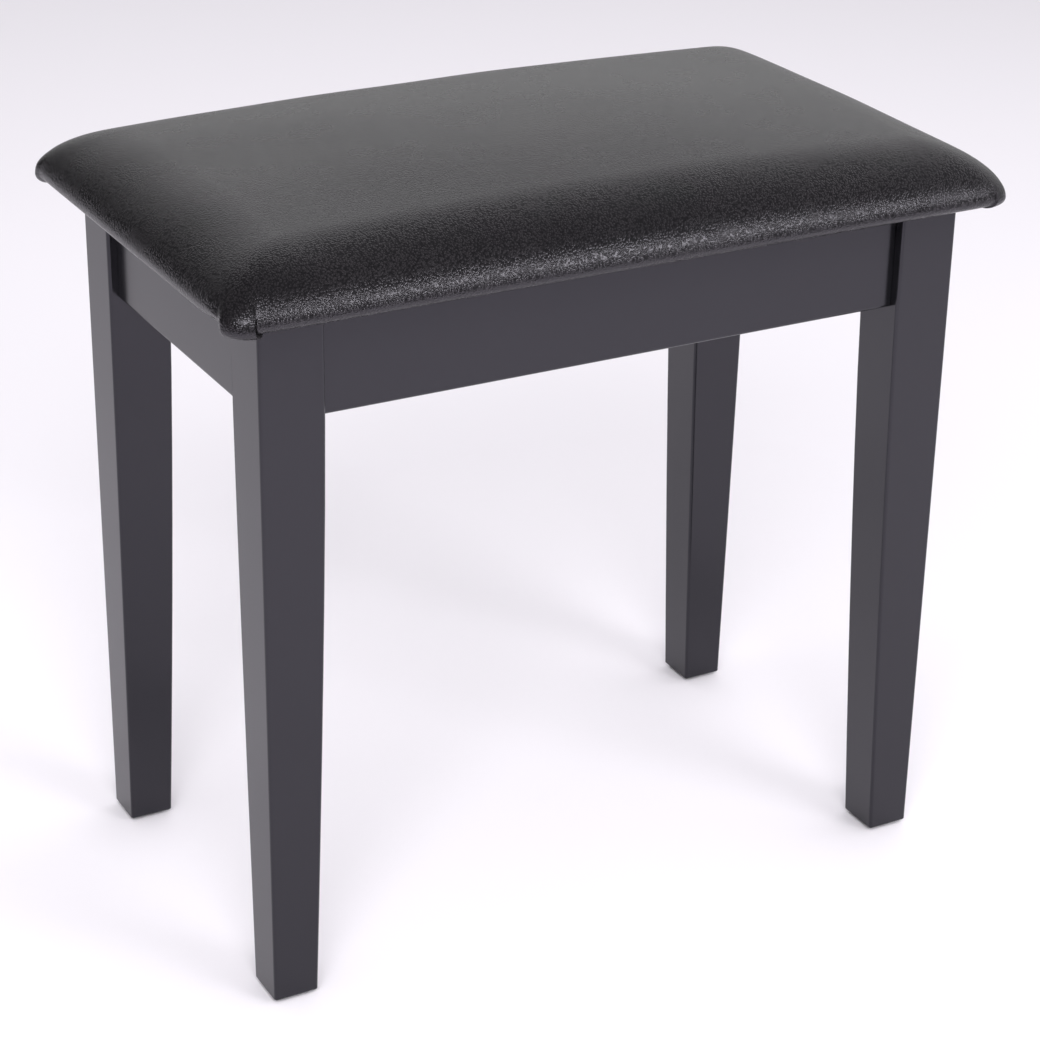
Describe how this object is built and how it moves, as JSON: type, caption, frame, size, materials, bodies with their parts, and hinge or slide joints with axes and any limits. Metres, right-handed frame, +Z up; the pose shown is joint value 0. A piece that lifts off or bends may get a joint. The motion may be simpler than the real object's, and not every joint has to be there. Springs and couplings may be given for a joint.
{
  "type": "piano bench",
  "caption": "Fixed-height piano bench: crowned black leatherette seat on a black lacquered apron frame with tapered legs bolted to corner blocks.",
  "frame": {"origin": "on the floor, under the middle of the bench (bottom centre of its bounding box)", "axes": "+X along the long side of the seat, +Y from the front of the bench to the rear, +Z up"},
  "size_m": [0.534, 0.326, 0.5056],
  "materials": {
    "leatherette": "fine pebble grain, satin",
    "foam": "open-cell polyurethane foam, matte",
    "plywood": "raw plywood",
    "dust_cloth": "non-woven, matte",
    "black_lacquer": "satin black lacquer on wood",
    "block_wood": "raw sawn beech",
    "zinc_steel": "zinc plated",
    "insert_metal": "plated zinc alloy",
    "black_nylon": "moulded nylon, matte"
  },
  "bodies": {
    "root": {"seat_cover": "leatherette", "seat_foam": "foam", "seat_board": "plywood", "dust_cloth": "dust_cloth", "front_apron": "black_lacquer", "rear_apron": "black_lacquer", "left_apron": "black_lacquer", "right_apron": "black_lacquer", "front_left_leg": "black_lacquer", "front_left_corner_block": "block_wood", "front_left_foot_glide": "black_nylon", "front_left_upper_bolt": "zinc_steel", "front_left_upper_washer": "zinc_steel", "front_left_upper_threaded_insert": "insert_metal", "front_left_lower_bolt": "zinc_steel", "front_left_lower_washer": "zinc_steel", "front_left_lower_threaded_insert": "insert_metal", "front_left_block_front_screw": "zinc_steel", "front_left_block_side_screw": "zinc_steel", "front_left_seat_screw": "zinc_steel", "front_right_leg": "black_lacquer", "front_right_corner_block": "block_wood", "front_right_foot_glide": "black_nylon", "front_right_upper_bolt": "zinc_steel", "front_right_upper_washer": "zinc_steel", "front_right_upper_threaded_insert": "insert_metal", "front_right_lower_bolt": "zinc_steel", "front_right_lower_washer": "zinc_steel", "front_right_lower_threaded_insert": "insert_metal", "front_right_block_front_screw": "zinc_steel", "front_right_block_side_screw": "zinc_steel", "front_right_seat_screw": "zinc_steel", "rear_left_leg": "black_lacquer", "rear_left_corner_block": "block_wood", "rear_left_foot_glide": "black_nylon", "rear_left_upper_bolt": "zinc_steel", "rear_left_upper_washer": "zinc_steel", "rear_left_upper_threaded_insert": "insert_metal", "rear_left_lower_bolt": "zinc_steel", "rear_left_lower_washer": "zinc_steel", "rear_left_lower_threaded_insert": "insert_metal", "rear_left_block_rear_screw": "zinc_steel", "rear_left_block_side_screw": "zinc_steel", "rear_left_seat_screw": "zinc_steel", "rear_right_leg": "black_lacquer", "rear_right_corner_block": "block_wood", "rear_right_foot_glide": "black_nylon", "rear_right_upper_bolt": "zinc_steel", "rear_right_upper_washer": "zinc_steel", "rear_right_upper_threaded_insert": "insert_metal", "rear_right_lower_bolt": "zinc_steel", "rear_right_lower_washer": "zinc_steel", "rear_right_lower_threaded_insert": "insert_metal", "rear_right_block_rear_screw": "zinc_steel", "rear_right_block_side_screw": "zinc_steel", "rear_right_seat_screw": "zinc_steel"}
  },
  "joints": []
}
